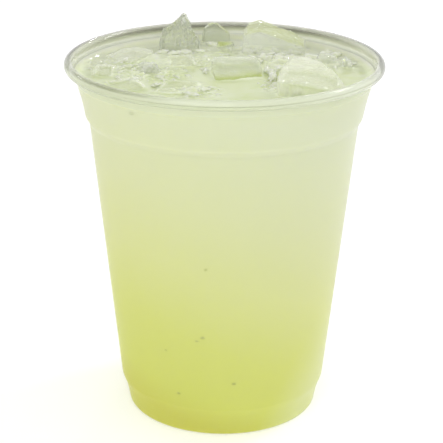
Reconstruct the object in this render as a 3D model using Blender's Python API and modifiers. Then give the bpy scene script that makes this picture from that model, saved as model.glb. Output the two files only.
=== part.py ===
"""A clear plastic cup of iced lemonade: the cup, the drink in it and the cracked ice at its top.

Units are metres, +Z is up, and the origin is the middle of the foot on the table.
"""
import math
import random

import bmesh
import bpy
from mathutils import Matrix, Vector

MM = 0.001

# The cup, measured on its outside
CUP_HEIGHT = 113.7 * MM
RIM_RADIUS = 49.0 * MM
BEAD_WIDTH = 2.85 * MM
BEAD_HEIGHT = 3.2 * MM
CURL_START_DEG = 180.0
CURL_END_DEG = -90.0
CURL_OUTSIDE_STEPS = 9
CURL_INSIDE_STEPS = 6
SHEET = 0.45 * MM
FLARE_STEPS = 5
FLARE_MIDDLE_RADIUS = 44.27 * MM
FLARE_MIDDLE_HEIGHT = 102.7 * MM
FLARE_FOOT_RADIUS = 43.07 * MM
FLARE_FOOT_HEIGHT = 96.7 * MM
SHOULDER_RADIUS = 41.8 * MM
SHOULDER_HEIGHT = 94.7 * MM
BODY_FOOT_RADIUS = 32.95 * MM
BODY_FOOT_HEIGHT = 9.5 * MM
TAPER_RADIUS = 31.9 * MM
TAPER_HEIGHT = 6.8 * MM
STEP_RADIUS = 31.2 * MM
STEP_HEIGHT = 4.1 * MM
FOOT_RADIUS = 30.6 * MM
HEEL_ROUND = 1.0 * MM
HEEL_STEPS = 3
FOOT_RING_WIDTH = 3.1 * MM
RECESS_DEPTH = 2.8 * MM
RECESS_RADIUS = 25.6 * MM
ROUND_STEPS = 60
MERGE_DISTANCE = 0.01 * MM
CUT_TOLERANCE = 0.0001 * MM
SHARP_ANGLE_DEG = 35.0

# The drink
DRINK_DEPTH_BELOW_RIM = 5.3 * MM
DRINK_LEVEL = CUP_HEIGHT - DRINK_DEPTH_BELOW_RIM
GAP = 0.3 * MM
SURFACE_RINGS = 7
RIPPLE_HEIGHT = 0.16 * MM
RIPPLE_CALM_WIDTH = 15.0 * MM

# The ripples on the drink: the way each runs, its length in millimetres and its start
RIPPLES = ((22.0, 15.8, 0.0), (111.0, 24.6, 1.1))

# The ice
ICE_REACH = 41.0 * MM
ICE_REACH_TURNS_DEG = (-22.0, 0.0, 22.0)
CORNER_WANDER = 0.05
CORNER_TURN_DEG = (-14.0, 14.0)
CORNER_LEAN = (-0.12, 0.3)
CORNER_REACH = (0.78, 0.93)
TOP_EDGE_REACH = (0.72, 0.95)
TOP_EDGE_LEAN = (0.5, 1.2)
CUT_CLEARANCE = 0.38 * MM
ICE_SEED = 100

# Each block of ice: its middle, width, depth, bottom, top and edge round in millimetres, its
# turn in degrees, and the planes that chip it, as a point on the plane and the way it faces
ICE_BLOCKS = {
    "ice_spike": (
        (-14.8, 30.3), (14.8, 11.0), (98.0, 112.4), 0.5, 4.0,
        [((-21.6, 30.0, 110.0), (-1.0, 0.0, 0.2))],
    ),
    "ice_back": (
        (-3.0, 39.9), (10.8, 5.2), (104.6, 116.0), 0.5, 3.0,
        [
            ((-3.8, 40.0, 116.0), (-0.55, 0.0, 1.0)),
            ((-3.0, 40.0, 116.0), (0.85, 0.0, 1.0)),
        ],
    ),
    "ice_ridge": (
        (0.4, 29.2), (6.6, 11.0), (101.0, 112.5), 0.6, -8.0,
        [((0.0, 27.0, 112.5), (0.1, 0.5, 1.0)), ((0.0, 26.4, 112.5), (-0.3, -0.5, 1.0))],
    ),
    "ice_large": (
        (15.7, 28.7), (22.8, 14.2), (99.0, 118.4), 1.1, -5.0,
        [
            ((11.6, 34.0, 117.9), (0.36, -0.1, 1.0)),
            ((10.0, 34.0, 117.8), (-0.4, -0.1, 1.0)),
            ((7.0, 34.0, 116.2), (-1.1, 0.0, 1.0)),
        ],
    ),
    "ice_between": (
        (18.8, 12.9), (9.4, 7.4), (101.0, 110.9), 0.6, -25.0,
        [((19.0, 13.0, 110.8), (-0.15, -0.2, 1.0))],
    ),
    "ice_centre": (
        (3.6, 1.0), (18.2, 21.0), (97.0, 112.9), 1.1, 5.0,
        [
            ((4.0, 7.0, 112.6), (0.1, -0.25, 1.0)),
            ((10.5, 7.5, 112.0), (0.75, 0.3, 0.8)),
        ],
    ),
    "ice_right": (
        (26.2, -12.6), (22.4, 33.4), (98.2, 114.4), 1.5, -8.0,
        [
            ((22.0, -2.0, 114.3), (0.06, -0.04, 1.0)),
            ((31.0, -12.0, 113.0), (0.4, -0.1, 1.0)),
            ((30.5, -2.0, 112.0), (0.86, 0.51, 0.3)),
            ((34.8, -12.5, 112.0), (0.97, 0.25, 0.3)),
        ],
    ),
    "ice_small_right": (
        (32.0, 14.4), (6.6, 7.4), (103.0, 111.6), 0.5, 20.0,
        [((32.0, 14.0, 111.4), (-0.3, -0.35, 1.0))],
    ),
    "ice_right_back": (
        (38.9, 10.6), (4.8, 8.6), (104.4, 111.3), 0.5, -14.0,
        [((39.0, 10.0, 111.2), (0.2, -0.3, 1.0))],
    ),
    "ice_left_back": (
        (-30.0, 18.9), (12.6, 17.0), (99.6, 111.2), 0.9, -32.0,
        [((-29.0, 20.0, 111.0), (0.05, -0.12, 1.0))],
    ),
    "ice_left": (
        (-37.2, 1.4), (8.6, 14.0), (101.6, 110.3), 0.8, -2.0,
        [((-37.0, 0.0, 110.2), (0.12, -0.1, 1.0))],
    ),
    "ice_small_left": (
        (-23.4, 1.6), (8.6, 10.4), (102.0, 111.4), 0.6, 18.0,
        [
            ((-22.6, 2.0, 111.3), (0.55, -0.1, 1.0)),
            ((-23.4, 2.0, 111.3), (-0.45, -0.3, 1.0)),
        ],
    ),
    "ice_mid": (
        (-13.7, 14.2), (10.2, 15.0), (99.0, 110.1), 0.8, 8.0,
        [((-12.0, 16.0, 109.9), (-0.05, -0.05, 1.0))],
    ),
    "ice_front_left": (
        (-13.6, -16.6), (13.0, 15.6), (100.4, 109.6), 0.9, -12.0,
        [((-13.0, -15.0, 109.5), (0.1, -0.05, 1.0))],
    ),
    "ice_left_front": (
        (-29.4, -14.6), (11.4, 13.6), (101.6, 110.2), 0.8, 26.0,
        [((-29.0, -15.0, 110.1), (-0.1, -0.12, 1.0))],
    ),
}

# The spire that stands on the spiky block: the height, middle, widths and turn of each step
SPIRE_STEPS = (
    (115.3, (-15.0, 31.3), (9.8, 8.2), 6.0),
    (117.3, (-13.9, 31.2), (6.2, 5.4), 14.0),
    (118.9, (-13.4, 31.0), (4.1, 3.8), 20.0),
    (120.4, (-13.2, 30.9), (2.6, 2.4), 26.0),
)


def clear_scene():
    """Removes whatever the file already holds."""
    for item in list(bpy.data.objects):
        bpy.data.objects.remove(item, do_unlink=True)


def add_collection(name):
    """Adds a collection to the scene."""
    collection = bpy.data.collections.new(name)
    bpy.context.scene.collection.children.link(collection)
    return collection


def make_material(name, colour, roughness, transmission, index):
    """Makes a clear or cloudy material, with its index of refraction."""
    material = bpy.data.materials.new(name)
    material.use_nodes = True
    shader = material.node_tree.nodes["Principled BSDF"]
    shader.inputs["Base Color"].default_value = (*colour, 1.0)
    shader.inputs["Roughness"].default_value = roughness
    shader.inputs["Metallic"].default_value = 0.0
    shader.inputs["Transmission Weight"].default_value = transmission
    shader.inputs["IOR"].default_value = index
    return material


def add_object(name, mesh, collection, material):
    """Puts a mesh in a collection under its own name, shaded smooth with crisp edges kept."""
    thing = bpy.data.objects.new(name, mesh)
    collection.objects.link(thing)
    mesh.materials.append(material)
    mesh.shade_smooth()
    mesh.set_sharp_from_angle(angle=math.radians(SHARP_ANGLE_DEG))
    return thing


def ellipse_points(middle, half_width, half_height, start_deg, end_deg, steps):
    """Points along an ellipse in the plane of the profile."""
    points = []
    for step in range(steps + 1):
        angle = math.radians(start_deg + (end_deg - start_deg) * step / steps)
        radius = middle[0] + half_width * math.cos(angle)
        height = middle[1] + half_height * math.sin(angle)
        points.append((radius, height))
    return points


def flare_radius(height, neck_radius, neck_height):
    """Outer radius of the flared band, a curve through its foot, middle and neck."""
    known = (
        (FLARE_FOOT_HEIGHT, FLARE_FOOT_RADIUS),
        (FLARE_MIDDLE_HEIGHT, FLARE_MIDDLE_RADIUS),
        (neck_height, neck_radius),
    )
    radius = 0.0
    for place, (at_height, at_radius) in enumerate(known):
        share = at_radius
        for other, (other_height, _) in enumerate(known):
            if other != place:
                share *= (height - other_height) / (at_height - other_height)
        radius += share
    return radius


def outer_line():
    """Outer side of the sheet, from the neck inside the bead down to the middle of the base."""
    neck_radius = RIM_RADIUS - BEAD_WIDTH + SHEET
    neck_height = CUP_HEIGHT - BEAD_HEIGHT
    line = [(neck_radius, CUP_HEIGHT - BEAD_HEIGHT / 2)]
    for step in range(FLARE_STEPS + 1):
        height = neck_height + (FLARE_FOOT_HEIGHT - neck_height) * step / FLARE_STEPS
        line.append((flare_radius(height, neck_radius, neck_height), height))
    line.append((SHOULDER_RADIUS, SHOULDER_HEIGHT))
    line.append((BODY_FOOT_RADIUS, BODY_FOOT_HEIGHT))
    line.append((TAPER_RADIUS, TAPER_HEIGHT))
    line.append((STEP_RADIUS, STEP_HEIGHT))
    heel = (FOOT_RADIUS - HEEL_ROUND, HEEL_ROUND)
    line.extend(ellipse_points(heel, HEEL_ROUND, HEEL_ROUND, 0.0, -90.0, HEEL_STEPS))
    ring_inside = FOOT_RADIUS - HEEL_ROUND - FOOT_RING_WIDTH
    line.append((ring_inside, 0.0))
    line.append((RECESS_RADIUS, RECESS_DEPTH))
    line.append((0.0, RECESS_DEPTH))
    return line


def inward_line(line, distance):
    """Moves a line that runs down the outside inwards by a distance, mitred at its corners."""
    directions = []
    for start, end in zip(line, line[1:]):
        run = Vector((end[0] - start[0], end[1] - start[1])).normalized()
        directions.append(Vector((run.y, -run.x)))
    moved = []
    for place, point in enumerate(line):
        before = directions[max(place - 1, 0)]
        after = directions[min(place, len(directions) - 1)]
        facing = (before + after).normalized()
        reach = distance / facing.dot(after)
        moved.append((point[0] + facing.x * reach, point[1] + facing.y * reach))
    return moved


def below_height(line, height):
    """The part of a falling line below a height, starting where it crosses it."""
    for place, (start, end) in enumerate(zip(line, line[1:])):
        if start[1] >= height > end[1]:
            share = (start[1] - height) / (start[1] - end[1])
            crossing = (start[0] + (end[0] - start[0]) * share, height)
            return [crossing] + line[place + 1:]
    return line


def turned_object(name, profile, collection, material):
    """Turns a profile of radius and height round the Z axis."""
    mesh = bpy.data.meshes.new(name)
    corners = [(radius, 0.0, height) for radius, height in profile]
    edges = [(place, place + 1) for place in range(len(corners) - 1)]
    mesh.from_pydata(corners, edges, [])
    thing = bpy.data.objects.new(name, mesh)
    collection.objects.link(thing)
    mesh.materials.append(material)
    screw = thing.modifiers.new("Turn", "SCREW")
    screw.axis = "Z"
    screw.angle = math.tau
    screw.steps = ROUND_STEPS
    screw.render_steps = ROUND_STEPS
    screw.use_merge_vertices = True
    screw.merge_threshold = MERGE_DISTANCE
    screw.use_smooth_shade = True
    return thing


def add_cup(collection, material):
    """The cup: one thin sheet with a rolled bead at the rim, a stacking shoulder and a foot ring."""
    outside = outer_line()
    inside = inward_line(outside, SHEET)
    inside.reverse()
    middle = (RIM_RADIUS - BEAD_WIDTH / 2, CUP_HEIGHT - BEAD_HEIGHT / 2)
    curl_outside = ellipse_points(
        middle, BEAD_WIDTH / 2, BEAD_HEIGHT / 2,
        CURL_START_DEG, CURL_END_DEG, CURL_OUTSIDE_STEPS)
    curl_inside = ellipse_points(
        middle, BEAD_WIDTH / 2 - SHEET, BEAD_HEIGHT / 2 - SHEET,
        CURL_END_DEG, CURL_START_DEG, CURL_INSIDE_STEPS)
    profile = inside[:-1] + curl_outside + curl_inside + outside[1:]
    return turned_object("cup", profile, collection, material)


def drink_profile():
    """Half section of the drink, from the middle of its surface down the wall to the floor."""
    wall = below_height(inward_line(outer_line(), SHEET + GAP), DRINK_LEVEL)
    edge = wall[0][0]
    surface = [(edge * ring / SURFACE_RINGS, DRINK_LEVEL) for ring in range(SURFACE_RINGS)]
    return surface + wall


def ripple(x, y):
    """Height of the drink's gentle ripples at a place, dying out towards the wall."""
    height = 0.0
    for direction, length, start in RIPPLES:
        angle = math.radians(direction)
        along = x * math.cos(angle) + y * math.sin(angle)
        height += RIPPLE_HEIGHT * math.sin(math.tau * along / (length * MM) + start)
    from_wall = RIM_RADIUS - BEAD_WIDTH - math.hypot(x, y)
    return height * min(1.0, max(0.0, from_wall / RIPPLE_CALM_WIDTH))


def add_lemonade(collection, cutters, material):
    """The drink, up to its level, with hollows where the ice sits in it."""
    turned = turned_object("lemonade", drink_profile(), collection, material)
    graph = bpy.context.evaluated_depsgraph_get()
    mesh = bpy.data.meshes.new_from_object(turned.evaluated_get(graph))
    bpy.data.objects.remove(turned, do_unlink=True)
    for corner in mesh.vertices:
        if abs(corner.co.z - DRINK_LEVEL) < MERGE_DISTANCE:
            corner.co.z += ripple(corner.co.x, corner.co.y)
    drink = bpy.data.objects.new("lemonade", mesh)
    collection.objects.link(drink)
    cut = drink.modifiers.new("Ice hollows", "BOOLEAN")
    cut.operation = "DIFFERENCE"
    cut.solver = "EXACT"
    cut.operand_type = "COLLECTION"
    cut.collection = cutters
    return drink


def chip(block, point, facing):
    """Cuts away what lies beyond a plane and closes the cut."""
    geometry = block.verts[:] + block.edges[:] + block.faces[:]
    cut = bmesh.ops.bisect_plane(
        block, geom=geometry, dist=CUT_TOLERANCE, plane_co=point, plane_no=facing,
        clear_outer=True)
    rim = [item for item in cut["geom_cut"] if isinstance(item, bmesh.types.BMEdge)]
    if rim:
        bmesh.ops.contextual_create(block, geom=rim)


def ice_box(middle, widths, heights, turn, draw):
    """A box of ice with wandering corners, turned and put in its place."""
    size = Vector((widths[0], widths[1], heights[1] - heights[0])) * MM
    place = Vector((middle[0], middle[1], (heights[0] + heights[1]) / 2)) * MM
    block = bmesh.new()
    bmesh.ops.create_cube(block, size=1.0)
    bmesh.ops.scale(block, vec=size, verts=block.verts)
    for corner in block.verts:
        for axis in range(3):
            inward = -math.copysign(1.0, corner.co[axis])
            corner.co[axis] += inward * draw.uniform(0.0, CORNER_WANDER) * size[axis]
    spin = Matrix.Rotation(math.radians(turn), 3, "Z")
    bmesh.ops.rotate(block, cent=(0.0, 0.0, 0.0), matrix=spin, verts=block.verts)
    bmesh.ops.translate(block, vec=place, verts=block.verts)
    return block


def break_corners(block, middle, widths, turn, draw):
    """Breaks the four upright corners off a box of ice, each by a leaning plane."""
    place = Vector((middle[0], middle[1], 0.0)) * MM
    half_diagonal = math.hypot(*widths) / 2 * MM
    for quarter in range(4):
        angle = math.radians(turn + 45.0 + 90.0 * quarter + draw.uniform(*CORNER_TURN_DEG))
        outward = Vector((math.cos(angle), math.sin(angle), 0.0))
        facing = outward + Vector((0.0, 0.0, draw.uniform(*CORNER_LEAN)))
        point = place + outward * half_diagonal * draw.uniform(*CORNER_REACH)
        point.z = DRINK_LEVEL
        chip(block, point, facing)


def break_top_edges(block, middle, widths, top, turn, draw):
    """Breaks the four top edges off a box of ice."""
    place = Vector((middle[0], middle[1], top)) * MM
    for quarter in range(4):
        angle = math.radians(turn + 90.0 * quarter + draw.uniform(*CORNER_TURN_DEG))
        outward = Vector((math.cos(angle), math.sin(angle), 0.0))
        half_width = widths[quarter % 2] / 2 * MM
        edge = place + outward * half_width * draw.uniform(*TOP_EDGE_REACH)
        chip(block, edge, outward * draw.uniform(*TOP_EDGE_LEAN) + Vector((0.0, 0.0, 1.0)))


def trim_to_wall(block, middle):
    """Keeps a block of ice clear of the cup's wall."""
    azimuth = math.atan2(middle[1], middle[0])
    for turn in ICE_REACH_TURNS_DEG:
        angle = azimuth + math.radians(turn)
        facing = Vector((math.cos(angle), math.sin(angle), 0.0))
        chip(block, facing * ICE_REACH, facing)


def add_spire(block):
    """Draws the top face of a block up into a narrow spire."""
    top = max(block.faces, key=lambda face: face.calc_center_median().z)
    for height, middle, widths, turn in SPIRE_STEPS:
        grown = bmesh.ops.extrude_face_region(block, geom=[top])
        faces = [item for item in grown["geom"] if isinstance(item, bmesh.types.BMFace)]
        bmesh.ops.delete(block, geom=[top], context="FACES_ONLY")
        top = faces[0]
        corners = list(top.verts)
        old_middle = top.calc_center_median()
        reach_x = max(abs(corner.co.x - old_middle.x) for corner in corners)
        reach_y = max(abs(corner.co.y - old_middle.y) for corner in corners)
        new_middle = Vector((middle[0], middle[1], height)) * MM
        place = Matrix.Translation(new_middle) @ Matrix.Rotation(math.radians(turn), 4, "Z")
        for corner in corners:
            share_x = (corner.co.x - old_middle.x) / reach_x
            share_y = (corner.co.y - old_middle.y) / reach_y
            flat = Vector((share_x * widths[0], share_y * widths[1], 0.0)) * MM / 2
            corner.co = place @ flat


def round_edges(block, width):
    """Rounds every edge of a block a little."""
    bmesh.ops.recalc_face_normals(block, faces=block.faces)
    bmesh.ops.bevel(
        block, geom=block.edges[:], offset=width, segments=1, profile=0.5,
        affect="EDGES", material=-1, clamp_overlap=True)
    bmesh.ops.remove_doubles(block, verts=block.verts, dist=MERGE_DISTANCE)
    bmesh.ops.triangulate(block, faces=block.faces)
    bmesh.ops.recalc_face_normals(block, faces=block.faces)


def add_cutter(name, block, cutters):
    """The room that a block takes in the drink: its hull, grown by the clearance."""
    hull = bmesh.new()
    for corner in block.verts:
        hull.verts.new(corner.co)
    shaped = bmesh.ops.convex_hull(hull, input=hull.verts)
    inside = [item for item in shaped["geom_interior"] if isinstance(item, bmesh.types.BMVert)]
    bmesh.ops.delete(hull, geom=inside, context="VERTS")
    bmesh.ops.recalc_face_normals(hull, faces=hull.faces)
    hull.normal_update()
    grown = [corner.co + corner.normal * CUT_CLEARANCE for corner in hull.verts]
    for corner, place in zip(hull.verts, grown):
        corner.co = place
    mesh = bpy.data.meshes.new(name)
    hull.to_mesh(mesh)
    hull.free()
    cutter = bpy.data.objects.new(name, mesh)
    cutter.hide_render = True
    cutter.display_type = "WIRE"
    cutters.objects.link(cutter)


def add_ice(collection, cutters, material):
    """All the blocks of ice that stand out of the drink."""
    for order, (name, facts) in enumerate(ICE_BLOCKS.items()):
        middle, widths, heights, edge_round, turn, chips = facts
        draw = random.Random(ICE_SEED + order)
        block = ice_box(middle, widths, heights, turn, draw)
        break_corners(block, middle, widths, turn, draw)
        if name == "ice_spike":
            add_spire(block)
        else:
            break_top_edges(block, middle, widths, heights[1], turn, draw)
        trim_to_wall(block, middle)
        for point, facing in chips:
            chip(block, Vector(point) * MM, Vector(facing))
        round_edges(block, edge_round * MM)
        add_cutter(name + "_room", block, cutters)
        mesh = bpy.data.meshes.new(name)
        block.to_mesh(mesh)
        block.free()
        add_object(name, mesh, collection, material)


def build():
    """Builds the whole cup of lemonade."""
    clear_scene()
    parts = add_collection("cup_of_lemonade")
    cutters = add_collection("cutters")
    clear_plastic = make_material("clear_plastic", (0.95, 0.96, 0.95), 0.06, 0.9, 1.57)
    cloudy_lemonade = make_material("cloudy_lemonade", (0.76, 0.80, 0.42), 0.15, 0.2, 1.34)
    clear_ice = make_material("clear_ice", (0.86, 0.89, 0.80), 0.12, 0.8, 1.31)
    add_cup(parts, clear_plastic)
    add_ice(parts, cutters, clear_ice)
    add_lemonade(parts, cutters, cloudy_lemonade)


build()
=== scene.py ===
"""A clear plastic cup of iced lemonade, finished for a studio picture.

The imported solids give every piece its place. Units are metres, +Z is up and the origin is
the middle of the foot, where the cup stands.
"""
import math
import random

import bmesh
import bpy
from mathutils import Euler, Matrix, Vector, noise
from mathutils.bvhtree import BVHTree


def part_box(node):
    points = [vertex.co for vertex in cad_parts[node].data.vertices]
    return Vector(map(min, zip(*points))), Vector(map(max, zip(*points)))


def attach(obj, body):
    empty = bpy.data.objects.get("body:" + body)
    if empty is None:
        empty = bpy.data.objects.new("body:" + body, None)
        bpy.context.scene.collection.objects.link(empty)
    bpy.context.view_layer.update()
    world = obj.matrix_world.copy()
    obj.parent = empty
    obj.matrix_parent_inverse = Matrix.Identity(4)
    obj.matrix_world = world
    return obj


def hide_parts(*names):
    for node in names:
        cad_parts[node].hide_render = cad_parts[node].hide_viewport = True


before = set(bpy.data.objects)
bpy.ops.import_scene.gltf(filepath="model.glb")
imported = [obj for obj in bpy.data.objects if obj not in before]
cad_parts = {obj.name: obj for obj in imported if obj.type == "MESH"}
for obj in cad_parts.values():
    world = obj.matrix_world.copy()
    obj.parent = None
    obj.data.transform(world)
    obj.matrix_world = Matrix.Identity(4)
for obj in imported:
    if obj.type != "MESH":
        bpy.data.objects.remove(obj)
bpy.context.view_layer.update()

MM = 0.001

# The camera stands where the photograph was taken from
PHOTO_WIDTH = 443
FOCAL_PIXELS = 1516.0
SENSOR_WIDTH = 36.0
CAMERA_PLACE = (-0.00058, -0.4509, 0.2298)
CAMERA_LOOK_DOWN_DEG = 20.63
CAMERA_ROLL_DEG = 0.434
CAMERA_NEAR = 0.01

# The studio: how bright the surround is by its height above the horizon
FLOOR_WIDTH = 6.0
FLOOR_COLOUR = (0.86, 0.86, 0.86)
FLOOR_ROUGH = 0.9
FLOOR_GLOW = 0.3
SURROUND = (
    (0.0, 1.0),
    (0.34, 1.0),
    (0.55, 0.8),
    (0.8, 0.42),
    (1.0, 0.28),
)
SURROUND_STRENGTH = 1.18

# The softboxes, which all face the rim: name, place, width and power
SOFTBOXES = (
    ("softbox_right", (0.5, 0.3, 0.65), 0.18, 1.2),
    ("softbox_back", (0.12, 0.62, 0.5), 0.04, 0.2),
    ("softbox_back_left", (-0.4, 0.45, 0.42), 0.04, 0.12),
    ("softbox_side", (0.55, 0.2, 0.3), 0.04, 0.08),
    ("softbox_front", (-0.15, -0.75, 0.6), 0.6, 2.3),
)

# Ways across the object, as seen from its front
UP = (0.0, 0.0, 1.0)
LEFT = (-1.0, 0.0, 0.0)
RIGHT = (1.0, 0.0, 0.0)
BACK = (0.0, 1.0, 0.0)
BACK_AND_RIGHT = (0.1, 1.0, 0.0)

# The cup, measured on its outside
CUP_HEIGHT = 113.7 * MM
RIM_RADIUS = 49.0 * MM
BEAD_WIDTH = 2.85 * MM
BEAD_HEIGHT = 3.2 * MM
SHEET = 0.45 * MM
FLARE_MIDDLE = (44.27 * MM, 102.7 * MM)
FLARE_FOOT = (43.07 * MM, 96.7 * MM)
SHOULDER = (41.8 * MM, 94.7 * MM)
BODY_FOOT = (32.95 * MM, 9.5 * MM)
TAPER = (31.9 * MM, 6.8 * MM)
STEP = (31.2 * MM, 4.1 * MM)
FOOT_RADIUS = 30.6 * MM
HEEL_ROUND = 1.0 * MM
FOOT_RING_WIDTH = 3.1 * MM
RECESS_DEPTH = 2.8 * MM
RECESS_RADIUS = 25.6 * MM
SHOULDER_ROUND = 2.5 * MM
BODY_FOOT_ROUND = 4.0 * MM
STEP_ROUND = 3.0 * MM
RING_ROUND = 0.6 * MM
CURL_START_DEG = 180.0
CURL_END_DEG = -90.0
CORNER_STEPS = 6
FLARE_STEPS = 22
CURL_STEPS = 30
CUP_TURNS = 240
MERGE = 0.004 * MM

# The drink
DRINK_LEVEL = 108.4 * MM
DRINK_IN_WALL = SHEET * 0.5
DRINK_TURNS = 400
SURFACE_RINGS = 108
WALL_STEP = 4.0 * MM
RIPPLE_HEIGHT = 0.09 * MM
RIPPLE_CALM_WIDTH = 15.0 * MM
CALM_FROM_WALL = 0.5 * MM
STIR_HEIGHT = 0.42 * MM
STIR_WIDTH = 1.9 * MM
STIR_LENGTH = 6.5 * MM
CREST_BEND = 1.6
CREST_SHIFTS = ((9.3, -1.5, -8.0), (1.0, 3.7, 5.2), (-6.4, 2.9, 1.7))
CREST_SHARPNESS = 4.0

# The ripples: the way each runs in degrees, its length in millimetres and its start
RIPPLES = ((22.0, 15.8, 0.0), (111.0, 24.6, 1.1))

# Where ice has stirred up the surface: a middle and a reach in millimetres, and how much
STIRRED = (
    (-37.0, 17.0, 17.0, 1.0),
    (-23.0, 0.0, 14.0, 1.0),
    (-11.0, -21.0, 12.0, 0.9),
    (-8.0, 18.0, 14.0, 0.7),
    (21.0, -14.0, 12.0, 1.0),
    (38.0, 18.0, 13.0, 0.9),
    (8.0, 26.0, 11.0, 0.8),
    (18.0, 16.0, 12.0, 1.0),
)

# How the drink climbs at the wall and at the ice, and how it sinks under the ice. The rings
# near the wall are given by their distance from the drink's edge in millimetres.
WALL_CLIMB = 1.5 * MM
WALL_CLIMB_WIDTH = 1.5 * MM
NEAR_WALL = (0.12, 0.23, 0.36, 0.55, 0.8, 1.1, 1.5, 2.0, 2.6, 3.4, 4.4, 5.5)
CLIMB_HEIGHT = 0.45 * MM
CLIMB_WIDTH = 0.8 * MM
HOLLOW_DEPTH = 1.1 * MM
HOLLOW_WIDTH = 0.9 * MM
TOP_FACING = 0.3
SURFACE_FACING = 0.2

# The finishes: where each begins and ends, and how strongly each material bends light
WALL_FINISH_TOP = DRINK_LEVEL - 0.4 * MM
NECK_TOP = CUP_HEIGHT - BEAD_HEIGHT + 0.1 * MM
# Where the painted light and shade on the neck and the bead change: beside, behind, left, right
# and outward
BESIDE = (-0.020, 0.002)
BEHIND = (0.014, 0.040)
LIP_LEFT = (0.014, 0.032)
LIP_RIGHT = (0.010, 0.034)
LIP_OUTWARD = (RIM_RADIUS - BEAD_WIDTH * 0.75, RIM_RADIUS - BEAD_WIDTH * 0.55)
# The body's fade runs up it and is tilted towards the right, which paints light from the right; so
# does the lighter mix on the right side
BODY_FADE_WAY = (0.36, 0.0, 1.0)
BODY_FADE = (0.0, 0.110)
BODY_PAINTED_LIGHT_WAY = (1.0, 0.0, -0.5)
BODY_PAINTED_LIGHT = (0.010, 0.023)
# Where the drink's top gets its painted sheen farther back and its painted shade by the wall at
# the back
SURFACE_FAR = (0.0, 0.055)
SURFACE_BACK = (0.0, 0.02)
SURFACE_WALL = (0.028, 0.043)
PATCH_SCALE = 110.0
PATCH_DETAIL = 3.0
PATCH_WARP = 0.8
PATCH_SHARE = (0.5, 0.78)
CLOUD_DEPTH = 0.003
CLOUD_COLOURS = (1.0, 1.0, 0.7)
SHEET_BEND = 1.52
NECK_BEND = 1.4
DRINK_BEND = 1.34
ICE_BEND = 1.31

# The ice
ICE = [name for name in sorted(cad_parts) if name.startswith("ice_")]
ICE_CELL = 0.42 * MM
ICE_CELLS_MOST = 64
LOW_ICE_TOP = DRINK_LEVEL + 2.6 * MM

# How often a block's edges are smoothed
MELT_ROUNDS = {"ice_centre": 60, "ice_large": 20, "ice_right": 50}
MELT_ROUNDS_LOW = 18
MELT_ROUNDS_OTHER = 7

# The hollows, dimples and streaks that melt into a block
MELT_SHARE = {"ice_centre": 1.5, "ice_spike": 0.2}
MELT_SHARE_LOW = 1.5
MELT_SHARE_OTHER = 1.0
MELT_DEPTH = 1.3 * MM
MELT_WIDTH = 6.5 * MM
FLANK_SHARE = 0.7
DIMPLE_DEPTH = 0.45 * MM
DIMPLE_WIDTH = 2.8 * MM
STREAK_DEPTH = {"ice_spike": 2.4 * MM}
STREAK_DEPTH_OTHER = 0.45 * MM
STREAK_WIDTH = 1.3 * MM
STREAK_LENGTH = 8.0 * MM

# The film of lemonade on a block: how thick it lies on top and at the level
FILM_TOP = {
    "ice_back": 0.9,
    "ice_large": 0.8,
    "ice_ridge": 1.0,
    "ice_right": 0.35,
    "ice_spike": 0.7,
}
FILM_TOP_OTHER = 0.15
FILM_LEVEL = {"ice_centre": 1.0}
FILM_LEVEL_OTHER = 0.6
FILM_HEIGHT = {"ice_centre": 1.3 * MM}
FILM_HEIGHT_OTHER = 0.6 * MM
FILM_FADE = 1.3
FILM_FACING = 0.3
FILM_FACING_WIDTH = 0.5

# The colours of the ice, from bare to a thick film
CLEAR_ICE = (
    (0.0, (248, 250, 245)),
    (0.5, (242, 246, 220)),
    (0.8, (232, 240, 176)),
    (1.0, (212, 228, 104)),
)
# A greyer copy of the clear ice that paints shade on the spike and the back block
ICE_PAINTED_SHADE = (
    (0.0, (227, 231, 217)),
    (0.5, (231, 236, 203)),
    (0.8, (232, 240, 178)),
    (1.0, (212, 228, 104)),
)
WET_ICE = (
    (0.0, (249, 251, 234)),
    (0.5, (249, 251, 230)),
    (1.0, (247, 250, 218)),
)
SLUSH = (
    (0.0, (238, 242, 216)),
    (1.0, (246, 249, 230)),
)
# The painted white highlight on edges that stand out: its colour, the rounds that find the edges,
# and where it begins and is full
PAINTED_EDGE_HIGHLIGHT = (255, 255, 252)
EDGE_ROUNDS = 6
EDGE_FROM = 0.03 * MM
EDGE_FULL = 0.16 * MM

# Bubbles against the wall: angle round the axis, height and half width in millimetres
BUBBLES = (
    (-97.8, 58.8, 0.5),
    (-99.8, 35.5, 0.7),
    (-102.8, 34.2, 0.5),
    (-113.8, 14.6, 0.6),
    (-120.0, 29.1, 0.5),
    (-126.0, 106.4, 0.8),
    (-84.0, 19.5, 0.7),
)
BUBBLE_DEPTH = 0.12 * MM
BUBBLE_HEIGHT_SHARE = 0.6
BUBBLE_ROUGH = 0.3

# Crumbs of ice that break the surface: their sizes, and their form as shares of their length
CRUMBS = 280
CRUMB_TRIES = 4000
CRUMB_SEED = 11
CRUMB_LEAST = 1.2 * MM
CRUMB_MOST = 4.4 * MM
CRUMB_FINE = 0.9 * MM
CRUMB_ROUGH = 0.55
CRUMB_LUMPS = 1.9
CRUMB_SHIFT = 7.0
CRUMB_FROM_WALL = 2.0 * MM
CRUMB_SPACING = 0.3
CRUMB_WIDTH = (0.14, 0.28)
CRUMB_HEIGHT = (0.1, 0.2)
CRUMB_SINK = (0.0, 0.08)
CRUMB_LEAN = (-0.3, 0.3)
CRUMB_TURN = (-0.7, 0.7)
CRUMB_EDGE_ROUNDS = 2

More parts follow.
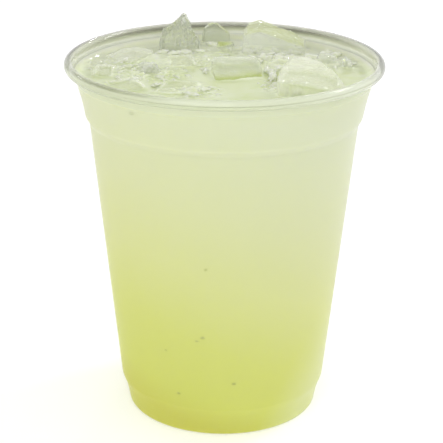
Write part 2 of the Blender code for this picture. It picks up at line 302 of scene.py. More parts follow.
# Shards of ice: place, length and rise above the level in millimetres, and turn in degrees
SHARD_WIDTH_SHARE = 0.45
SHARD_SUNK = 0.6
SHARD_ROLL = (-0.5, 0.5)
SHARD_PITCH = (-0.3, 0.3)
SHARDS = (
    (4.0, 29.0, 5.0, 1.6, 20.0),
    (7.5, 25.0, 4.4, 1.5, -35.0),
    (10.5, 27.5, 4.0, 1.8, 10.0),
    (13.5, 24.0, 5.2, 1.3, -15.0),
    (16.5, 27.0, 3.6, 1.6, 40.0),
    (19.0, 23.5, 4.8, 1.4, -5.0),
    (22.5, 26.0, 4.2, 1.3, 25.0),
    (32.5, 25.0, 4.6, 1.2, -20.0),
    (36.0, 22.0, 4.0, 1.5, 30.0),
    (40.0, 12.0, 3.8, 1.1, 0.0),
    (-33.0, 12.0, 6.0, 1.0, 35.0),
    (-30.0, 7.0, 4.0, 1.0, -40.0),
    (-24.0, 3.0, 5.0, 1.3, 60.0),
    (-27.0, -8.0, 4.6, 0.9, 15.0),
    (-20.0, -14.0, 5.6, 1.0, 70.0),
    (-10.0, -24.0, 5.0, 0.9, -10.0),
    (-6.0, -19.0, 4.4, 0.9, 35.0),
    (15.0, -14.0, 4.6, 1.2, 50.0),
    (17.0, -19.0, 4.8, 1.0, -20.0),
    (21.5, -20.0, 4.2, 1.1, 25.0),
    (-20.0, 24.6, 4.5, 1.4, 20.0),
    (-16.5, 23.4, 5.0, 1.2, -10.0),
    (-12.5, 24.0, 4.6, 1.5, 15.0),
    (-8.6, 26.0, 4.2, 1.3, -30.0),
    (-4.0, 35.8, 4.0, 1.1, 10.0),
    (0.5, 34.8, 3.6, 1.2, -15.0),
    (14.6, -6.0, 5.0, 1.5, 75.0),
    (14.4, -1.0, 4.4, 1.8, 95.0),
    (17.0, 4.6, 4.6, 1.5, 40.0),
    (22.5, 6.2, 4.2, 1.3, 10.0),
    (28.5, 3.6, 4.0, 1.2, -30.0),
    (13.2, 3.0, 4.4, 1.5, 80.0),
    (-5.8, 2.0, 4.2, 1.2, 90.0),
    (7.5, 17.0, 4.6, 1.4, -25.0),
    (10.5, 14.5, 4.0, 1.2, -40.0),
    (12.5, 19.0, 5.0, 1.5, -20.0),
    (17.0, 19.3, 4.4, 1.3, -10.0),
    (21.5, 18.6, 4.8, 1.5, -30.0),
    (25.0, 16.0, 4.2, 1.3, -15.0),
    (26.5, 12.0, 4.0, 1.2, -35.0),
    (10.0, 11.6, 3.6, 1.0, 15.0),
    (27.5, 19.5, 4.4, 1.5, 10.0),
)


def srgb(red, green, blue):
    """A colour on the display's scale of 0 to 255, as light."""
    light = []
    for part in (red, green, blue):
        share = part / 255.0
        light.append(share / 12.92 if share <= 0.04045 else ((share + 0.055) / 1.055) ** 2.4)
    return (*light, 1.0)


def add_camera():
    """The camera at the photograph's viewpoint."""
    data = bpy.data.cameras.new("camera")
    data.sensor_width = SENSOR_WIDTH
    data.lens = FOCAL_PIXELS / PHOTO_WIDTH * SENSOR_WIDTH
    data.clip_start = CAMERA_NEAR
    camera = bpy.data.objects.new("camera", data)
    bpy.context.scene.collection.objects.link(camera)
    tilt = Matrix.Rotation(math.radians(90.0 - CAMERA_LOOK_DOWN_DEG), 4, "X")
    roll = Matrix.Rotation(math.radians(CAMERA_ROLL_DEG), 4, "Z")
    camera.matrix_world = Matrix.Translation(CAMERA_PLACE) @ tilt @ roll
    bpy.context.scene.camera = camera


def add_floor():
    """A plain, nearly white floor."""
    sheet = bmesh.new()
    bmesh.ops.create_grid(sheet, x_segments=1, y_segments=1, size=FLOOR_WIDTH / 2)
    mesh = bpy.data.meshes.new("floor")
    sheet.to_mesh(mesh)
    sheet.free()
    floor = bpy.data.objects.new("floor", mesh)
    bpy.context.scene.collection.objects.link(floor)
    material = bpy.data.materials.new("floor_white")
    material.use_nodes = True
    shader = material.node_tree.nodes["Principled BSDF"]
    shader.inputs["Base Color"].default_value = (*FLOOR_COLOUR, 1.0)
    shader.inputs["Roughness"].default_value = FLOOR_ROUGH
    shader.inputs["Specular IOR Level"].default_value = 0.0
    shader.inputs["Emission Color"].default_value = (1.0, 1.0, 1.0, 1.0)
    shader.inputs["Emission Strength"].default_value = FLOOR_GLOW
    mesh.materials.append(material)


def add_surround():
    """White all round the horizon, falling to grey overhead, so that clear edges draw lines."""
    world = bpy.data.worlds.new("studio")
    world.use_nodes = True
    bpy.context.scene.world = world
    nodes = world.node_tree.nodes
    links = world.node_tree.links
    place = nodes.new("ShaderNodeTexCoord")
    parts = nodes.new("ShaderNodeSeparateXYZ")
    ramp = nodes.new("ShaderNodeValToRGB")
    background = nodes["Background"]
    elements = ramp.color_ramp.elements
    while len(elements) < len(SURROUND):
        elements.new(1.0)
    for element, (height, light) in zip(elements, SURROUND):
        element.position = height
        element.color = (light, light, light, 1.0)
    links.new(place.outputs["Generated"], parts.inputs["Vector"])
    links.new(parts.outputs["Z"], ramp.inputs["Fac"])
    links.new(ramp.outputs["Color"], background.inputs["Color"])
    background.inputs["Strength"].default_value = SURROUND_STRENGTH
    bpy.context.scene.view_settings.view_transform = "Standard"


def add_softbox(name, place, width, power):
    """A square softbox that faces the middle of the rim."""
    data = bpy.data.lights.new(name, "AREA")
    data.shape = "SQUARE"
    data.size = width
    data.energy = power
    light = bpy.data.objects.new(name, data)
    bpy.context.scene.collection.objects.link(light)
    light.location = place
    towards = Vector((0.0, 0.0, CUP_HEIGHT)) - Vector(place)
    light.rotation_euler = towards.to_track_quat("-Z", "Y").to_euler()


def new_material(name):
    """A node material and its shader."""
    material = bpy.data.materials.new(name)
    material.use_nodes = True
    return material, material.node_tree, material.node_tree.nodes["Principled BSDF"]


def ramp_of(tree, value, stops):
    """Colours along a value, as pairs of a share and a display colour."""
    ramp = tree.nodes.new("ShaderNodeValToRGB")
    elements = ramp.color_ramp.elements
    while len(elements) < len(stops):
        elements.new(1.0)
    for element, (share, colour) in zip(elements, stops):
        element.position = share
        element.color = srgb(*colour)
    tree.links.new(value, ramp.inputs["Fac"])
    return ramp.outputs["Color"]


def share_along(tree, direction, start, end):
    """How far a place is between two heights along a direction, from 0 to 1."""
    place = tree.nodes.new("ShaderNodeTexCoord")
    slope = tree.nodes.new("ShaderNodeVectorMath")
    slope.operation = "DOT_PRODUCT"
    slope.inputs[1].default_value = direction
    share = tree.nodes.new("ShaderNodeMapRange")
    share.inputs["From Min"].default_value = start
    share.inputs["From Max"].default_value = end
    tree.links.new(place.outputs["Object"], slope.inputs[0])
    tree.links.new(slope.outputs["Value"], share.inputs["Value"])
    return share.outputs["Result"]


def share_outward(tree, start, end):
    """How far a place is between two distances from the Z axis, from 0 to 1."""
    place = tree.nodes.new("ShaderNodeTexCoord")
    level = tree.nodes.new("ShaderNodeVectorMath")
    level.operation = "MULTIPLY"
    level.inputs[1].default_value = (1.0, 1.0, 0.0)
    away = tree.nodes.new("ShaderNodeVectorMath")
    away.operation = "LENGTH"
    share = tree.nodes.new("ShaderNodeMapRange")
    share.inputs["From Min"].default_value = start
    share.inputs["From Max"].default_value = end
    tree.links.new(place.outputs["Object"], level.inputs[0])
    tree.links.new(level.outputs["Vector"], away.inputs[0])
    tree.links.new(away.outputs["Value"], share.inputs["Value"])
    return share.outputs["Result"]


def patches(tree, start, end):
    """Soft blotches, from 0 to 1."""
    place = tree.nodes.new("ShaderNodeTexCoord")
    blotch = tree.nodes.new("ShaderNodeTexNoise")
    blotch.inputs["Scale"].default_value = PATCH_SCALE
    blotch.inputs["Detail"].default_value = PATCH_DETAIL
    blotch.inputs["Distortion"].default_value = PATCH_WARP
    share = tree.nodes.new("ShaderNodeMapRange")
    share.inputs["From Min"].default_value = start
    share.inputs["From Max"].default_value = end
    tree.links.new(place.outputs["Object"], blotch.inputs["Vector"])
    tree.links.new(blotch.outputs["Fac"], share.inputs["Value"])
    return share.outputs["Result"]


def mixed(tree, share, first, second):
    """Two colours mixed by a share, each a display colour or the output of a node."""
    mix = tree.nodes.new("ShaderNodeMix")
    mix.data_type = "RGBA"
    tree.links.new(share, mix.inputs["Factor"])
    for socket, colour in zip(("A", "B"), (first, second)):
        target = [one for one in mix.inputs if one.name == socket and one.type == "RGBA"][0]
        if isinstance(colour, bpy.types.NodeSocket):
            tree.links.new(colour, target)
        else:
            target.default_value = srgb(*colour)
    return [one for one in mix.outputs if one.type == "RGBA"][0]


def marked(tree, name):
    """A value that the mesh carries at each of its corners, from 0 to 1."""
    mark = tree.nodes.new("ShaderNodeAttribute")
    mark.attribute_name = name
    return mark.outputs["Fac"]


def clear_wall():
    """The thin wall where the drink lies against it: clear and glossy."""
    material, _, shader = new_material("clear_wall")
    shader.inputs["Base Color"].default_value = srgb(176, 179, 168)
    shader.inputs["Roughness"].default_value = 0.16
    shader.inputs["IOR"].default_value = SHEET_BEND
    shader.inputs["Specular IOR Level"].default_value = 0.08
    shader.inputs["Alpha"].default_value = 0.12
    return material


def wet_neck():
    """The neck between the drink and the bead, wet with lemonade, with a little painted shade
    behind.
    """
    material, tree, shader = new_material("wet_neck")
    # Painted shade: the neck turns a little darker from beside to behind
    behind = share_along(tree, BACK_AND_RIGHT, *BESIDE)
    colour = mixed(tree, behind, (213, 219, 192), (206, 210, 186))
    tree.links.new(colour, shader.inputs["Base Color"])
    shader.inputs["Roughness"].default_value = 0.08
    shader.inputs["IOR"].default_value = NECK_BEND
    shader.inputs["Alpha"].default_value = 0.62
    return material


def lip_front_painted_light(tree, height, on_right):
    """The front of the bead in painted light and shade: a painted dark line at the left, painted
    light in the middle and a painted white highlight at the right.
    """
    painted_dark_lines = ramp_of(tree, height, (
        (0.0, (204, 211, 174)),
        (0.5, (222, 227, 196)),
        (0.7, (228, 233, 206)),
        (0.8, (178, 183, 152)),
        (0.93, (182, 187, 156)),
        (1.0, (196, 201, 170))))
    bright = ramp_of(tree, height, (
        (0.0, (204, 211, 178)),
        (0.12, (226, 232, 202)),
        (0.38, (224, 230, 200)),
        (0.46, (174, 179, 152)),
        (0.54, (240, 244, 222)),
        (0.9, (242, 246, 226)),
        (1.0, (230, 235, 208))))
    white = ramp_of(tree, height, (
        (0.0, (222, 227, 200)),
        (0.42, (236, 240, 222)),
        (0.52, (206, 211, 186)),
        (0.62, (240, 244, 226)),
        (1.0, (238, 242, 224))))
    # Painted shade with dark lines on the left front; painted highlight on the right front
    on_left = share_along(tree, LEFT, *LIP_LEFT)
    return mixed(tree, on_right, mixed(tree, on_left, bright, painted_dark_lines), white)


def lip_side_painted_light(tree, on_right):
    """The sides of the bead in painted light and shade: painted white within and a painted grey
    shade round the outside.
    """
    outward = share_outward(tree, *LIP_OUTWARD)
    # Painted grey shade round the outside, darker on the left than on the right
    outside = mixed(tree, on_right, (100, 102, 78), (128, 130, 112))
    return mixed(tree, outward, (243, 246, 222), outside)


def lip_back_painted_shade(tree, height):
    """The back of the bead: a painted dark shade along its middle."""
    return ramp_of(tree, height, (
        (0.0, (231, 234, 213)),
        (0.2, (221, 225, 197)),
        (0.4, (178, 182, 152)),
        (0.59, (126, 126, 106)),
        (0.69, (146, 146, 127)),
        (0.8, (205, 206, 188)),
        (1.0, (234, 235, 221))))


def clear_lip():
    """The rolled bead, its light and shade painted in place: bright in front, over the drink, grey
    beside it and darkly shaded behind.
    """
    material, tree, shader = new_material("clear_lip")
    height = share_along(tree, UP, NECK_TOP, CUP_HEIGHT)
    # Masks for the bead's painted light and shade: the right, beside and behind
    on_right = share_along(tree, RIGHT, *LIP_RIGHT)
    beside = share_along(tree, BACK_AND_RIGHT, *BESIDE)
    behind = share_along(tree, BACK, *BEHIND)
    near = mixed(tree, beside, lip_front_painted_light(tree, height, on_right), lip_side_painted_light(tree, on_right))
    colour = mixed(tree, behind, near, lip_back_painted_shade(tree, height))
    tree.links.new(colour, shader.inputs["Base Color"])
    shader.inputs["Roughness"].default_value = 0.05
    shader.inputs["Transmission Weight"].default_value = 0.35
    shader.inputs["IOR"].default_value = SHEET_BEND
    shader.inputs["Alpha"].default_value = 0.6
    return material


def ice_finish(name, colours, glass, cover):
    """Ice with a film of lemonade where it is wet, and a painted white highlight along its edges.

    The glass is the share of light that it bends through itself, and the cover is the share of
    what lies behind it that it hides.
    """
    material, tree, shader = new_material(name)
    wetted = ramp_of(tree, marked(tree, "film"), colours)
    # Painted highlight: white where the edges stand out
    colour = mixed(tree, marked(tree, "edge"), wetted, PAINTED_EDGE_HIGHLIGHT)
    tree.links.new(colour, shader.inputs["Base Color"])
    shader.inputs["Roughness"].default_value = 0.05
    shader.inputs["Transmission Weight"].default_value = glass
    shader.inputs["IOR"].default_value = ICE_BEND
    shader.inputs["Alpha"].default_value = cover
    return material


def soften(shader):
    """Lets light in under the surface, as a cloudy drink does."""
    shader.inputs["Subsurface Weight"].default_value = 1.0
    shader.inputs["Subsurface Radius"].default_value = CLOUD_COLOURS
    shader.inputs["Subsurface Scale"].default_value = CLOUD_DEPTH


def lemonade_body():
    """Cloudy lemonade, pale at the top and a stronger yellow green towards the foot, with painted
    light that makes it lighter towards the right.
    """
    material, tree, shader = new_material("lemonade_body")
    along = ramp_of(tree, share_along(tree, BODY_FADE_WAY, *BODY_FADE), (
        (0.0, (198, 198, 80)),
        (0.10, (204, 209, 100)),
        (0.27, (207, 212, 115)),
        (0.46, (212, 216, 146)),
        (0.70, (214, 218, 171)),
        (1.0, (215, 220, 189))))
    # Painted light: the body turns lighter towards the right
    painted_light_right = share_along(tree, BODY_PAINTED_LIGHT_WAY, *BODY_PAINTED_LIGHT)
    colour = mixed(tree, painted_light_right, along, (213, 218, 150))
    tree.links.new(colour, shader.inputs["Base Color"])
    shader.inputs["Roughness"].default_value = 0.3
    shader.inputs["IOR"].default_value = DRINK_BEND
    shader.inputs["Specular IOR Level"].default_value = 0.05
    soften(shader)
    return material


def lemonade_surface():
    """The wet top of the drink: a painted highlight on its crests, a painted sheen farther back
    and a painted grey shade by the back wall.
    """
    material, tree, shader = new_material("lemonade_surface")
    height = share_along(tree, UP, DRINK_LEVEL - RIPPLE_HEIGHT, DRINK_LEVEL + STIR_HEIGHT)
    # Painted highlight: crests and climbs are lighter the higher they stand
    painted_crest_highlight = ramp_of(tree, height, (
        (0.0, (200, 210, 154)),
        (0.45, (206, 215, 170)),
        (1.0, (224, 231, 198))))
    mottled = mixed(tree, patches(tree, *PATCH_SHARE), painted_crest_highlight, (196, 209, 144))
    # Painted sheen: lighter farther back
    painted_sheen_far = mixed(tree, share_along(tree, BACK, *SURFACE_FAR), mottled, (230, 233, 216))
    # Painted shade: greyer by the wall, only at the back
    painted_shade_by_wall = mixed(tree, share_outward(tree, *SURFACE_WALL), painted_sheen_far, (214, 218, 196))
    colour = mixed(tree, share_along(tree, BACK, *SURFACE_BACK), painted_sheen_far, painted_shade_by_wall)
    tree.links.new(colour, shader.inputs["Base Color"])
    shader.inputs["Roughness"].default_value = 0.04
    shader.inputs["IOR"].default_value = DRINK_BEND
    soften(shader)
    return material


def bubble_finish():
    """A bubble in the drink, with painted shade that makes it a little darker than what is round
    it.
    """
    material, tree, shader = new_material("bubble")
    colour = ramp_of(tree, share_along(tree, UP, *BODY_FADE), (
        (0.0, (168, 172, 60)),
        (0.5, (190, 196, 118)),
        (1.0, (204, 210, 170))))
    tree.links.new(colour, shader.inputs["Base Color"])
    shader.inputs["Roughness"].default_value = 0.15
    return material


def arc(middle, half_width, half_height, start_deg, end_deg, steps):
    """Points along an ellipse in the plane of the profile."""
    points = []
    for step in range(steps + 1):
        angle = math.radians(start_deg + (end_deg - start_deg) * step / steps)
        radius = middle[0] + half_width * math.cos(angle)
        height = middle[1] + half_height * math.sin(angle)
        points.append((radius, height))
    return points


def rounded_corner(before, corner, after, radius, steps):
    """An arc of that radius that takes the place of a corner between two straight runs."""
    corner = Vector(corner)
    to_before = (Vector(before) - corner).normalized()
    to_after = (Vector(after) - corner).normalized()
    half = math.acos(max(-1.0, min(1.0, to_before.dot(to_after)))) / 2
    reach = radius / math.tan(half)
    middle = corner + (to_before + to_after).normalized() * radius / math.sin(half)
    start = corner + to_before * reach - middle
    end = corner + to_after * reach - middle
    turn = start.angle_signed(end)
    points = []
    for step in range(steps + 1):
        spun = start.copy()
        spun.rotate(Matrix.Rotation(-turn * step / steps, 2))
        points.append(tuple(middle + spun))
    return points


def flare_radius(height, neck):
    """Outer radius of the flared band, a curve through its foot, middle and neck."""
    known = (FLARE_FOOT, FLARE_MIDDLE, neck)
    radius = 0.0
    for place, (at_radius, at_height) in enumerate(known):
        share = at_radius
        for other, (_, other_height) in enumerate(known):
            if other != place:
                share *= (height - other_height) / (at_height - other_height)
        radius += share
    return radius


def outer_line():
    """Outer side of the sheet, from the neck inside the bead down to the middle of the base."""
    neck = (RIM_RADIUS - BEAD_WIDTH + SHEET, CUP_HEIGHT - BEAD_HEIGHT)
    line = [(neck[0], CUP_HEIGHT - BEAD_HEIGHT / 2)]
    for step in range(FLARE_STEPS):
        height = neck[1] + (FLARE_FOOT[1] - neck[1]) * step / FLARE_STEPS
        line.append((flare_radius(height, neck), height))
    heel_top = (FOOT_RADIUS, HEEL_ROUND)
    ring_inside = (FOOT_RADIUS - HEEL_ROUND - FOOT_RING_WIDTH, 0.0)
    recess = (RECESS_RADIUS, RECESS_DEPTH)
    turns = (
        (line[-1], FLARE_FOOT, SHOULDER, SHOULDER_ROUND),
        (FLARE_FOOT, SHOULDER, BODY_FOOT, SHOULDER_ROUND),
        (SHOULDER, BODY_FOOT, TAPER, BODY_FOOT_ROUND),
        (BODY_FOOT, TAPER, STEP, STEP_ROUND),
        (TAPER, STEP, heel_top, STEP_ROUND),
    )
    for before, corner, after, radius in turns:
        line.extend(rounded_corner(before, corner, after, radius, CORNER_STEPS))
    heel = (FOOT_RADIUS - HEEL_ROUND, HEEL_ROUND)
    line.extend(arc(heel, HEEL_ROUND, HEEL_ROUND, 0.0, -90.0, CORNER_STEPS))
    base_middle = (0.0, RECESS_DEPTH)
    line.extend(rounded_corner(line[-1], ring_inside, recess, RING_ROUND, CORNER_STEPS))
    line.extend(rounded_corner(ring_inside, recess, base_middle, RING_ROUND, CORNER_STEPS))
    line.append(base_middle)
    return line


def inward_line(line, distance):
    """Moves a line that runs down the outside inwards by a distance, mitred at its corners."""
    directions = []
    for start, end in zip(line, line[1:]):
        run = Vector((end[0] - start[0], end[1] - start[1])).normalized()
        directions.append(Vector((run.y, -run.x)))
    moved = []
    for place, point in enumerate(line):
        before = directions[max(place - 1, 0)]
        after = directions[min(place, len(directions) - 1)]
        facing = (before + after).normalized()
        reach = distance / facing.dot(after)
        moved.append((point[0] + facing.x * reach, point[1] + facing.y * reach))
    return moved


def below_height(line, height):
    """The part of a falling line below a height, starting where it crosses it."""
    for place, (start, end) in enumerate(zip(line, line[1:])):
        if start[1] >= height > end[1]:
            share = (start[1] - height) / (start[1] - end[1])
            crossing = (start[0] + (end[0] - start[0]) * share, height)
            return [crossing] + line[place + 1:]
    return line


def in_steps(line, longest):
    """Splits the long runs of a line into steps."""
    points = [line[0]]
    for start, end in zip(line, line[1:]):
        steps = max(1, math.ceil(math.dist(start, end) / longest))
        for step in range(1, steps + 1):
            share = step / steps
            radius = start[0] + (end[0] - start[0]) * share
            height = start[1] + (end[1] - start[1]) * share
            points.append((radius, height))
    return points


def in_order(form):
    """Sorts the corners by place and the faces by their corners, alike on every run."""
    for rank, corner in enumerate(sorted(form.verts, key=lambda corner: corner.co[:])):
        corner.index = rank
    form.verts.sort()
    faces = sorted(form.faces, key=lambda face: sorted(corner.index for corner in face.verts))
    for rank, face in enumerate(faces):
        face.index = rank
    form.faces.sort()


def turned(profile, turns):
    """Spins a profile of radius and height round the Z axis into a closed form."""
    form = bmesh.new()
    corners = [form.verts.new((radius, 0.0, height)) for radius, height in profile]
    edges = [form.edges.new(pair) for pair in zip(corners, corners[1:])]
    bmesh.ops.spin(
        form, geom=corners + edges, cent=(0.0, 0.0, 0.0), axis=(0.0, 0.0, 1.0),
        dvec=(0.0, 0.0, 0.0), angle=math.tau / 4, steps=turns // 4)
    for axis in "XY":
        whole = form.verts[:] + form.edges[:] + form.faces[:]
        bmesh.ops.mirror(form, geom=whole, merge_dist=MERGE, axis=axis)
    poles = [corner for corner in form.verts if math.hypot(corner.co.x, corner.co.y) < MERGE]
    bmesh.ops.remove_doubles(form, verts=poles, dist=MERGE)
    bmesh.ops.recalc_face_normals(form, faces=form.faces)
    in_order(form)
    return form


def finished(name, form, *materials):
    """Makes an object of a form, shaded smooth."""
    mesh = bpy.data.meshes.new(name)
    form.to_mesh(mesh)
    form.free()
    for material in materials:
        mesh.materials.append(material)
    mesh.shade_smooth()
    piece = bpy.data.objects.new(name, mesh)
    bpy.context.scene.collection.objects.link(piece)
    return piece


def add_cup(wall, neck, lip):
    """The cup: one thin sheet, with its rolled bead at the rim and its foot ring."""
    outside = outer_line()
    inside = inward_line(outside, SHEET)
    inside.reverse()
    middle = (RIM_RADIUS - BEAD_WIDTH / 2, CUP_HEIGHT - BEAD_HEIGHT / 2)
    curl_outside = arc(
        middle, BEAD_WIDTH / 2, BEAD_HEIGHT / 2, CURL_START_DEG, CURL_END_DEG, CURL_STEPS)
    curl_inside = arc(
        middle, BEAD_WIDTH / 2 - SHEET, BEAD_HEIGHT / 2 - SHEET,
        CURL_END_DEG, CURL_START_DEG, CURL_STEPS)
    profile = inside[:-1] + curl_outside + curl_inside + outside[1:]
    form = turned(profile, CUP_TURNS)
    for face in form.faces:
        height = face.calc_center_median().z
        face.material_index = int(height > WALL_FINISH_TOP) + int(height > NECK_TOP)
    cup = finished("cup_shell", form, wall, neck, lip)
    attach(cup, "root")
    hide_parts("cup")


def block_form(name):
    """A merged copy of a block of ice, as packed."""
    form = bmesh.new()
    form.from_mesh(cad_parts[name].data)
    bmesh.ops.remove_doubles(form, verts=form.verts, dist=MERGE)
    form.normal_update()
    return form


def stirred(x, y):
    """How much the ice has stirred up the surface at a place, from 0 to 1."""
    most = 0.0
    for at_x, at_y, reach, strength in STIRRED:
        away = math.hypot(x - at_x * MM, y - at_y * MM) / (reach * MM)
        most = max(most, strength * (1.0 - away * away))
    return most


def calm(x, y, width):
    """Falls from 1 to 0 towards the wall, over a width."""
    from_wall = RIM_RADIUS - BEAD_WIDTH - math.hypot(x, y) - CALM_FROM_WALL
    return min(1.0, max(0.0, from_wall / width))


def crest(x, y):
    """Height of the curling crests of a stirred surface."""
    away = max(math.hypot(x, y), MERGE)
    round_wall = Vector((0.0, x, y)) / away * RIM_RADIUS / STIR_LENGTH
    place = Vector((away / STIR_WIDTH, 0.0, 0.0)) + round_wall
    seat = Vector((x, y, 0.0)) / STIR_LENGTH
    bend = Vector([noise.noise(seat + Vector(shift)) for shift in CREST_SHIFTS])
    ridge = max(0.0, 1.0 - CREST_SHARPNESS * abs(noise.noise(place + bend * CREST_BEND)))
    return STIR_HEIGHT * ridge * stirred(x, y) * calm(x, y, STIR_WIDTH)


def ripple(x, y):
    """Height of the drink's gentle ripples at a place, dying out towards the wall."""
    height = 0.0
    for direction, length, start in RIPPLES:
        angle = math.radians(direction)
        along = x * math.cos(angle) + y * math.sin(angle)
        height += RIPPLE_HEIGHT * math.sin(math.tau * along / (length * MM) + start)
    return height * calm(x, y, RIPPLE_CALM_WIDTH)


def surface_line(edge):
    """The top of the drink from its middle to the wall, where it climbs."""
    line = []
    inner = edge - NEAR_WALL[-1] * MM
    for ring in range(SURFACE_RINGS):
        line.append((inner * ring / SURFACE_RINGS, DRINK_LEVEL))
    for distance in reversed(NEAR_WALL):
        from_wall = max(0.0, distance * MM - DRINK_IN_WALL)
        climb = WALL_CLIMB * math.exp(-from_wall / WALL_CLIMB_WIDTH)
        line.append((edge - distance * MM, DRINK_LEVEL + climb))
    return line


def add_lemonade(ice_faces, body, top):
    """The drink: it reaches just into the cup's sheet, climbs a little and sinks under ice."""
    wall = below_height(inward_line(outer_line(), DRINK_IN_WALL), DRINK_LEVEL + WALL_CLIMB)
    profile = surface_line(wall[0][0]) + in_steps(wall, WALL_STEP)
    form = turned(profile, DRINK_TURNS)
    form.normal_update()
    for corner in form.verts:
        place = corner.co
        if place.z < DRINK_LEVEL - MERGE or corner.normal.z < TOP_FACING:
            continue
        place.z += ripple(place.x, place.y) + crest(place.x, place.y)
        away = ice_faces.find_nearest(place)[3]
        if under_ice(ice_faces, place):
            place.z += CLIMB_HEIGHT - HOLLOW_DEPTH * (1.0 - math.exp(-away / HOLLOW_WIDTH))
        else:
            place.z += CLIMB_HEIGHT * math.exp(-away / CLIMB_WIDTH)
    form.normal_update()
    for face in form.faces:
        high = face.calc_center_median().z > DRINK_LEVEL - HOLLOW_DEPTH - RIPPLE_HEIGHT * 2
        face.material_index = int(high and face.normal.z > SURFACE_FACING)
    drink = finished("lemonade_drink", form, body, top)
    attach(drink, "root")
    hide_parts("lemonade")


def under_ice(ice_faces, place):
    """Whether a place is inside a block of ice."""
    facing = ice_faces.ray_cast(place, Vector(UP))[1]
    return bool(facing) and facing.z > 0.0


def ice_skin(name):
    """A block's fine skin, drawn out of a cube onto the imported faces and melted."""
    block = block_form(name)
    faces = BVHTree.FromBMesh(block)
    block.free()
    low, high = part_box(name)
    middle = (low + high) / 2
    size = high - low
    cells = min(ICE_CELLS_MOST, math.ceil(max(size) / ICE_CELL))
    skin = bmesh.new()
    bmesh.ops.create_cube(skin, size=1.0)
    bmesh.ops.subdivide_edges(skin, edges=skin.edges, cuts=cells - 1, use_grid_fill=True)
    bmesh.ops.scale(skin, vec=size, verts=skin.verts)
    for corner in skin.verts:
        corner.co = faces.ray_cast(middle, corner.co.normalized())[0]
    melt(skin, MELT_ROUNDS.get(name, MELT_ROUNDS_LOW if low_ice(name) else MELT_ROUNDS_OTHER))
    bmesh.ops.recalc_face_normals(skin, faces=skin.faces)
    share = MELT_SHARE.get(name, MELT_SHARE_LOW if low_ice(name) else MELT_SHARE_OTHER)
    carve(skin, share, STREAK_DEPTH.get(name, STREAK_DEPTH_OTHER))
    mark_edges(skin, EDGE_ROUNDS)
    wet(skin, name)
    return skin


def low_ice(name):
    """Whether a block hardly stands out of the drink."""
    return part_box(name)[1].z < LOW_ICE_TOP


def melt(skin, rounds):
    """Rounds a block's edges."""
    for _ in range(rounds):
        bmesh.ops.smooth_vert(
            skin, verts=skin.verts, factor=0.5, use_axis_x=True, use_axis_y=True,
            use_axis_z=True)


def mark_edges(skin, rounds):
    """Marks how far each place stands out from those round it, as "edge" from 0 to 1."""
    edge = skin.verts.layers.float.new("edge")
    places = [corner.co.copy() for corner in skin.verts]
    skin.normal_update()
    melt(skin, rounds)
    for corner, place in zip(skin.verts, places):
        out = (place - corner.co).dot(corner.normal)
        corner[edge] = min(1.0, max(0.0, (out - EDGE_FROM) / (EDGE_FULL - EDGE_FROM)))
        corner.co = place


def carve(skin, share, streaks):
    """Melts hollows, dimples and streaks into a block, always inwards."""
    skin.normal_update()
    places = []
    for corner in skin.verts:
        x, y, z = corner.co
        flank = 1.0 - FLANK_SHARE * max(0.0, corner.normal.z)
        hollow = 0.5 + 0.5 * noise.noise(corner.co / MELT_WIDTH)
        dimple = 0.5 + 0.5 * noise.noise(corner.co / DIMPLE_WIDTH)
        along = Vector((x / STREAK_WIDTH, y / STREAK_WIDTH, z / STREAK_LENGTH))
        streak = abs(noise.noise(along))
        depth = MELT_DEPTH * share * hollow * flank
        depth += DIMPLE_DEPTH * dimple + streaks * streak
        places.append(corner.co - corner.normal * depth)
    for corner, place in zip(skin.verts, places):
        corner.co = place


def wet(skin, name):
    """Marks how thick the lemonade lies on a block, on top and at the level, as "film"."""
    on_top = FILM_TOP.get(name, FILM_TOP_OTHER)
    at_level = FILM_LEVEL.get(name, FILM_LEVEL_OTHER)
    reach = FILM_HEIGHT.get(name, FILM_HEIGHT_OTHER)
    film = skin.verts.layers.float.new("film")
    skin.normal_update()
    for corner in skin.verts:
        upward = min(1.0, max(0.0, (corner.normal.z - FILM_FACING) / FILM_FACING_WIDTH))
        above = (corner.co.z - DRINK_LEVEL) / reach
        near_level = min(1.0, max(0.0, FILM_FADE - above))
        corner[film] = max(on_top * upward, at_level * near_level)


def add_ice(clear, smoky, pale, sunk):
    """The blocks of ice, and all their faces, ready to be searched."""
    # The spike and the back block take the ice with painted shade
    looks = {"ice_spike": smoky, "ice_back": smoky, "ice_right": pale}
    heap = bmesh.new()
    for name in ICE:
        look = looks.get(name, sunk if low_ice(name) else clear)
        piece = finished(name + "_block", ice_skin(name), look)
        heap.from_mesh(piece.data)
        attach(piece, "root")
        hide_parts(name)
    ice_faces = BVHTree.FromBMesh(heap)
    heap.free()
    return ice_faces


def add_chip(heap, number, seat, half, lean):
    """A rough chip of ice of that half size, turned and set in its place."""
    detail = 3 if half.x > CRUMB_FINE else 2
    chip = bmesh.ops.create_icosphere(heap, subdivisions=detail, radius=1.0)["verts"]
    shift = Vector((number * CRUMB_SHIFT, 0.0, 0.0))
    for corner in chip:
        corner.co *= 1.0 + CRUMB_ROUGH * noise.noise(corner.co * CRUMB_LUMPS + shift)
    matrix = Matrix.Translation(seat) @ lean.to_matrix().to_4x4() @ Matrix.Diagonal((*half, 1.0))
    bmesh.ops.transform(heap, matrix=matrix, verts=chip)


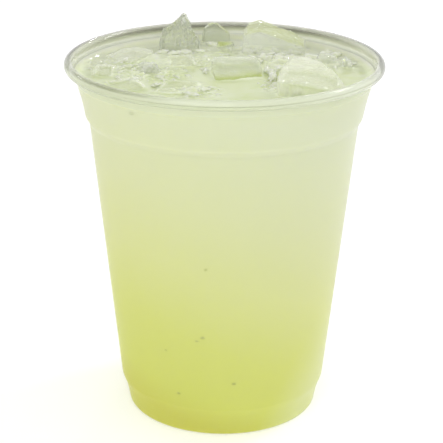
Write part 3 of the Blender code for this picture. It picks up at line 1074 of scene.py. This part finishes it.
def add_shards(heap, chance):
    """Thin shards of ice in their places. Returns their middles and lengths."""
    placed = []
    for x, y, length, rise, turn in SHARDS:
        middle = Vector((x * MM, y * MM, DRINK_LEVEL))
        placed.append((middle, length * MM))
        half = Vector((length, length * SHARD_WIDTH_SHARE, rise + SHARD_SUNK)) * MM * 0.5
        lean = Euler((
            chance.uniform(*SHARD_ROLL), chance.uniform(*SHARD_PITCH), math.radians(turn)))
        seat = middle + Vector((0.0, 0.0, (rise - SHARD_SUNK) * MM * 0.5))
        add_chip(heap, len(placed), seat, half, lean)
    return placed


def room_at(middle, ice_faces, placed):
    """How far a place on the drink is from the blocks and from what is placed already."""
    if under_ice(ice_faces, middle):
        return 0.0
    free = ice_faces.find_nearest(middle)[3]
    for other, other_size in placed:
        free = min(free, (middle - other).length - other_size * CRUMB_SPACING)
    return free


def add_crumbs(ice_faces, material):
    """Shards and crumbs of ice in the stirred places, their tops just out of the drink."""
    heap = bmesh.new()
    chance = random.Random(CRUMB_SEED)
    placed = add_shards(heap, chance)
    for _ in range(CRUMB_TRIES):
        away = (RIM_RADIUS - BEAD_WIDTH - CRUMB_FROM_WALL) * math.sqrt(chance.random())
        turn = math.tau * chance.random()
        x = away * math.cos(turn)
        y = away * math.sin(turn)
        size = CRUMB_LEAST + (CRUMB_MOST - CRUMB_LEAST) * chance.random() ** 2
        middle = Vector((x, y, DRINK_LEVEL))
        free = room_at(middle, ice_faces, placed)
        if chance.random() > stirred(x, y) or free < size * CRUMB_SPACING:
            continue
        placed.append((middle, size))
        half = size * Vector((0.5, chance.uniform(*CRUMB_WIDTH), chance.uniform(*CRUMB_HEIGHT)))
        lean = Euler((
            chance.uniform(*CRUMB_LEAN), chance.uniform(*CRUMB_LEAN),
            turn + math.tau / 4 + chance.uniform(*CRUMB_TURN)))
        seat = middle - Vector((0.0, 0.0, size * chance.uniform(*CRUMB_SINK)))
        add_chip(heap, len(placed), seat, half, lean)
        if len(placed) == CRUMBS:
            break
    # Marks the crumbs' edges for their painted white highlight
    mark_edges(heap, CRUMB_EDGE_ROUNDS)
    crumbs = finished("ice_crumbs", heap, material)
    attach(crumbs, "root")


def add_bubbles(material):
    """Small bubbles between the drink and the wall."""
    heap = bmesh.new()
    wall = inward_line(outer_line(), DRINK_IN_WALL)
    for angle, height, size in BUBBLES:
        away = below_height(wall, height * MM)[0][0]
        bubble = bmesh.ops.create_icosphere(heap, subdivisions=3, radius=1.0)["verts"]
        shift = Vector((angle, height, 0.0))
        for corner in bubble:
            corner.co *= 1.0 + BUBBLE_ROUGH * noise.noise(corner.co + shift)
        half = Matrix.Diagonal((
            BUBBLE_DEPTH, size * MM, size * MM * BUBBLE_HEIGHT_SHARE, 1.0))
        seat = Matrix.Rotation(math.radians(angle), 4, "Z") @ Matrix.Translation(
            (away, 0.0, height * MM))
        bmesh.ops.transform(heap, matrix=seat @ half, verts=bubble)
    bubbles = finished("air_bubbles", heap, material)
    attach(bubbles, "root")


add_camera()
add_floor()
add_surround()
for softbox in SOFTBOXES:
    add_softbox(*softbox)
add_cup(clear_wall(), wet_neck(), clear_lip())
faces_of_ice = add_ice(
    ice_finish("clear_ice", CLEAR_ICE, glass=0.6, cover=0.6),
    ice_finish("smoky_ice", ICE_PAINTED_SHADE, glass=0.7, cover=0.7),
    ice_finish("pale_ice", WET_ICE, glass=0.1, cover=0.46),
    ice_finish("sunk_ice", WET_ICE, glass=0.15, cover=0.3))
add_lemonade(faces_of_ice, lemonade_body(), lemonade_surface())
add_bubbles(bubble_finish())
add_crumbs(faces_of_ice, ice_finish("slush", SLUSH, glass=0.0, cover=0.72))
